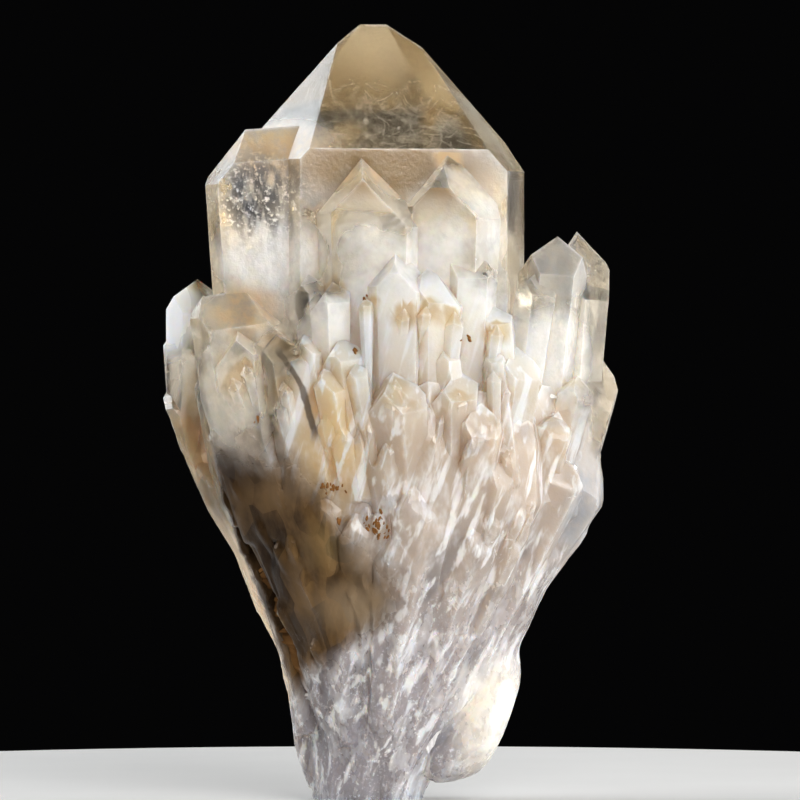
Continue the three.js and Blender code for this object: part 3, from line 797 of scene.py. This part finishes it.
# Flecks: flat films of bubbles and healed cracks in the clear quartz above the cloud. They lie thick over
# the cloud and thin out towards the points, and a few large ones catch the light.
FLECK_ZONES = [  # middle (right, back, up), reach each way, how many, largest width; all in mm
    ((-2, 0, 97), (15, 11, 10), 420, 0.8),
    ((-2, 0, 90), (17, 13, 5), 380, 1.1),
    ((-18, -8, 92), (8, 6, 9), 300, 0.9),
    ((10, -6, 88), (8, 6, 5), 120, 0.9),
    ((-3, -10, 90), (7, 4, 6), 110, 0.9),
    ((25, -3, 80), (5, 5, 6), 120, 0.8),
    ((-24, -14, 66), (6, 5, 9), 120, 0.8),
]
VEIL_ZONES = [  # middle (right, back, up), reach, how many veils, flecks in each; in mm
    ((-1, -2, 98), (11, 8, 6), 9, 90),
    ((-18, -9, 94), (5, 4, 6), 6, 70),
    ((2, -8, 90), (10, 4, 4), 6, 60),
    ((26, -4, 80), (4, 4, 5), 4, 40),
    ((-24, -14, 70), (4, 4, 5), 4, 40),
]
FLECK_MARGIN = 0.5 * MM  # of quartz round each
BULGE = 0.12  # of its width
corners, faces = [], []


def fleck(place, flat, width):
    """One six-cornered film, thicker in the middle, if there is quartz all round it."""
    near, normal, _, _ = outside.find_nearest(place)
    if (place - near).dot(normal) > -FLECK_MARGIN:
        return
    side = flat.orthogonal().normalized()
    side.rotate(Quaternion(flat, chance.uniform(0, math.tau)))
    forward = flat.cross(side)
    first = len(corners)
    for corner in range(6):
        angle = corner * math.tau / 6
        spread = width / 2 * chance.uniform(0.5, 1.1)
        corners.append(place + spread * (side * math.cos(angle) + 0.7 * forward * math.sin(angle)))
    corners.extend([place + flat * BULGE * width, place - flat * BULGE * width])
    for corner in range(6):
        after = (corner + 1) % 6
        faces.append((first + corner, first + after, first + 6))
        faces.append((first + after, first + corner, first + 7))


def any_way(upright=0.7):
    """A random direction, which is seldom upright where the number is small."""
    return Vector((chance.gauss(0, 1), chance.gauss(0, 1), chance.gauss(0, upright))).normalized()


# Single flecks lie any way round. A veil is a crowd of them on one slightly bowed sheet.
for middle, reach, count, widest in FLECK_ZONES:
    for _ in range(count):
        place = Vector([chance.gauss(at, 0.5 * size) for at, size in zip(middle, reach)]) * MM
        fleck(place, any_way(), MM * widest * chance.uniform(0.15, 1.0) ** 2)
for middle, reach, count, crowd in VEIL_ZONES:
    for _ in range(count):
        centre = Vector([chance.gauss(at, 0.5 * size) for at, size in zip(middle, reach)]) * MM
        flat = any_way(0.4)
        side = flat.orthogonal().normalized()
        side.rotate(Quaternion(flat, chance.uniform(0, math.tau)))
        forward = flat.cross(side)
        size = MM * chance.uniform(2.0, 5.0)
        bow = chance.uniform(-0.10, 0.10) / MM
        for _ in range(crowd):
            right, up = chance.gauss(0, 0.5) * size, chance.gauss(0, 0.25) * size
            place = centre + side * right + forward * up + flat * bow * right * right
            fleck(place, flat, MM * chance.uniform(0.08, 0.5))

# Hairs: long thin threads among the flecks, each a three-sided tube that bends a little as it grows.
HAIR_ZONES = [  # middle, reach, how many; mm
    ((-1, -2, 107), (14, 8, 6), 320),
    ((-1, -3, 100), (14, 8, 4), 160),
    ((-19, -10, 100), (6, 5, 7), 120),
    ((26, -4, 84), (4, 4, 5), 50),
]
HAIR_WIDTH = 0.032 * MM
HAIR_STEP = 0.42  # mm
for middle, reach, count in HAIR_ZONES:
    for _ in range(count):
        place = Vector([chance.gauss(at, 0.5 * size) for at, size in zip(middle, reach)]) * MM
        heading = any_way()
        bend = any_way() * 0.18
        width = HAIR_WIDTH * chance.uniform(0.5, 1.4)
        first = len(corners)
        steps = chance.randint(4, 9)
        for step in range(steps + 1):
            near, normal, _, _ = outside.find_nearest(place)
            if (place - near).dot(normal) > -FLECK_MARGIN:
                break
            side = heading.orthogonal().normalized()
            forward = heading.cross(side)
            for corner in range(3):
                angle = corner * math.tau / 3
                corners.append(place + width * (side * math.cos(angle) + forward * math.sin(angle)))
            place = place + heading * HAIR_STEP * MM
            heading = (heading + bend * 0.4 + any_way() * 0.06).normalized()
        rings = (len(corners) - first) // 3
        if rings < 2:
            del corners[first:]
            continue
        for ring in range(rings - 1):
            at = first + 3 * ring
            for corner in range(3):
                after = (corner + 1) % 3
                faces.append((at + corner, at + after, at + 3 + after, at + 3 + corner))
        faces.append((first + 2, first + 1, first))
        faces.append((first + 3 * rings - 3, first + 3 * rings - 2, first + 3 * rings - 1))

# A few larger gas bubbles glitter like stars in the dark part of the large point and in its left neighbour.
STARS = [  # (right, back, up), width; mm
    ((-4.7, -3, 106.2), 1.3),
    ((-4.5, -4, 103.6), 0.9),
    ((-2.0, 0, 108.5), 0.5),
    ((-26, -12, 98.5), 0.8),
    ((-17, -13, 87), 1.0),
    ((-24, -13, 93), 0.6),
    ((-20, -12, 95), 0.5),
    ((5, -4, 103), 0.5),
]
FILMS_IN_A_STAR = 5
for place, width in STARS:
    for _ in range(FILMS_IN_A_STAR):
        fleck(Vector(place) * MM, any_way(), width * MM)
fleck_mesh = bpy.data.meshes.new("flecks")
fleck_mesh.from_pydata(corners, [], faces)
flecks = bpy.data.objects.new("flecks", fleck_mesh)
bpy.context.scene.collection.objects.link(flecks)
GREY_FILM = (0.93, 0.92, 0.90)
BRIGHT_FILM = (0.99, 0.97, 0.93)
silver = Paint("bubble_films")
silver_tone = silver.mix(silver.noise(2.5, detail=2), GREY_FILM, BRIGHT_FILM)
silver.set(Base_Color=silver_tone, Roughness=0.35, Specular_IOR_Level=0.8)
fleck_mesh.materials.append(silver.material)
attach(flecks, "root")

# The studio: a pale round table top, large soft lights and dark surroundings. The camera looks straight at
# the group from the front, far off through a long lens.
FLOOR_RADIUS = 0.16
JUST_UNDER = (0, 0, -0.2 * MM)
bpy.ops.mesh.primitive_circle_add(vertices=96, radius=FLOOR_RADIUS, fill_type="NGON", location=JUST_UNDER)
floor = bpy.context.object
floor.name = "floor"
TABLE_GREY = (0.60, 0.595, 0.585)
TABLE_PALE = (0.65, 0.645, 0.635)
table_top = Paint("pale_floor")
table_tone = table_top.mix(table_top.noise(30, detail=2), TABLE_GREY, TABLE_PALE)
table_top.set(Base_Color=table_tone, Roughness=0.6)
floor.data.materials.append(table_top.material)


def softbox(name, place, aim, size, power, colour=(1, 1, 1)):
    """One large soft light, turned to its aim and unseen by the camera itself."""
    light = bpy.data.lights.new(name, "AREA")
    light.shape = "RECTANGLE"
    light.size, light.size_y = size
    light.energy = power
    light.color = colour
    lamp = bpy.data.objects.new(name, light)
    lamp.location = place
    lamp.rotation_euler = (Vector(aim) - Vector(place)).to_track_quat("-Z", "Y").to_euler()
    lamp.visible_camera = False
    bpy.context.scene.collection.objects.link(lamp)


MIDDLE = (0, 0, 0.065)
UPPER_MIDDLE = (0, 0, 0.10)
COOL = (0.80, 0.90, 1.0)
WARM = (1.0, 0.95, 0.87)
softbox("high_left", (-0.37, 0.24, 0.47), MIDDLE, (0.26, 0.26), 1.2, COOL)
softbox("left", (-0.55, 0.06, 0.36), MIDDLE, (0.36, 0.36), 2.6)
softbox("back", (-0.06, 0.70, 0.14), UPPER_MIDDLE, (0.48, 0.42), 0.40, WARM)
softbox("right", (0.50, 0.22, 0.20), MIDDLE, (0.60, 0.60), 2.2)
softbox("key", (0.62, -0.30, 0.20), MIDDLE, (0.60, 0.50), 3.5)
softbox("front_right", (0.28, -0.70, 0.42), MIDDLE, (0.5, 0.5), 6.8)

# The room is dim, and blacker still where the camera sees it.
ROOM_GREY = (0.06, 0.058, 0.055, 1)
BACKDROP_BLACK = (0.0015, 0.0015, 0.0016, 1)
world = bpy.data.worlds.new("studio")
world.use_nodes = True
air = world.node_tree
room = air.nodes["Background"]
room.inputs["Color"].default_value = ROOM_GREY
backdrop = air.nodes.new("ShaderNodeBackground")
backdrop.inputs["Color"].default_value = BACKDROP_BLACK
seen = air.nodes.new("ShaderNodeLightPath")
either = air.nodes.new("ShaderNodeMixShader")
air.links.new(seen.outputs["Is Camera Ray"], either.inputs[0])
air.links.new(room.outputs[0], either.inputs[1])
air.links.new(backdrop.outputs[0], either.inputs[2])
air.links.new(either.outputs[0], air.nodes["World Output"].inputs["Surface"])
bpy.context.scene.world = world
world.cycles.sampling_method = "NONE"

# The camera is a little above the middle, and its picture is 128 mm wide at the group.
PICTURE = 800  # pixels wide
PIXEL = 0.16 * MM  # what each covers at the group
FILM = 36
AWAY = 1.2  # m
TILT = math.radians(0.5)
look_at = Vector((1.5 * MM, 0, 64 * MM))
lens = bpy.data.cameras.new("camera")
camera = bpy.data.objects.new("camera", lens)
bpy.context.scene.collection.objects.link(camera)
camera.location = look_at + AWAY * Vector((0, -math.cos(TILT), math.sin(TILT)))
camera.rotation_euler = (look_at - camera.location).to_track_quat("-Z", "Y").to_euler()
lens.sensor_width = FILM
lens.lens = FILM * AWAY / (PICTURE * PIXEL)
lens.clip_start = 0.01
bpy.context.scene.camera = camera

# Light passes up to eight faces on its way through the quartz. The other settings save time.
cycles = bpy.context.scene.cycles
cycles.use_denoising = True
cycles.use_light_tree = False
cycles.max_bounces = 8
cycles.transmission_bounces = 8
cycles.diffuse_bounces = 3
cycles.light_sampling_threshold = 0.03
bpy.context.scene.view_settings.view_transform = "Standard"
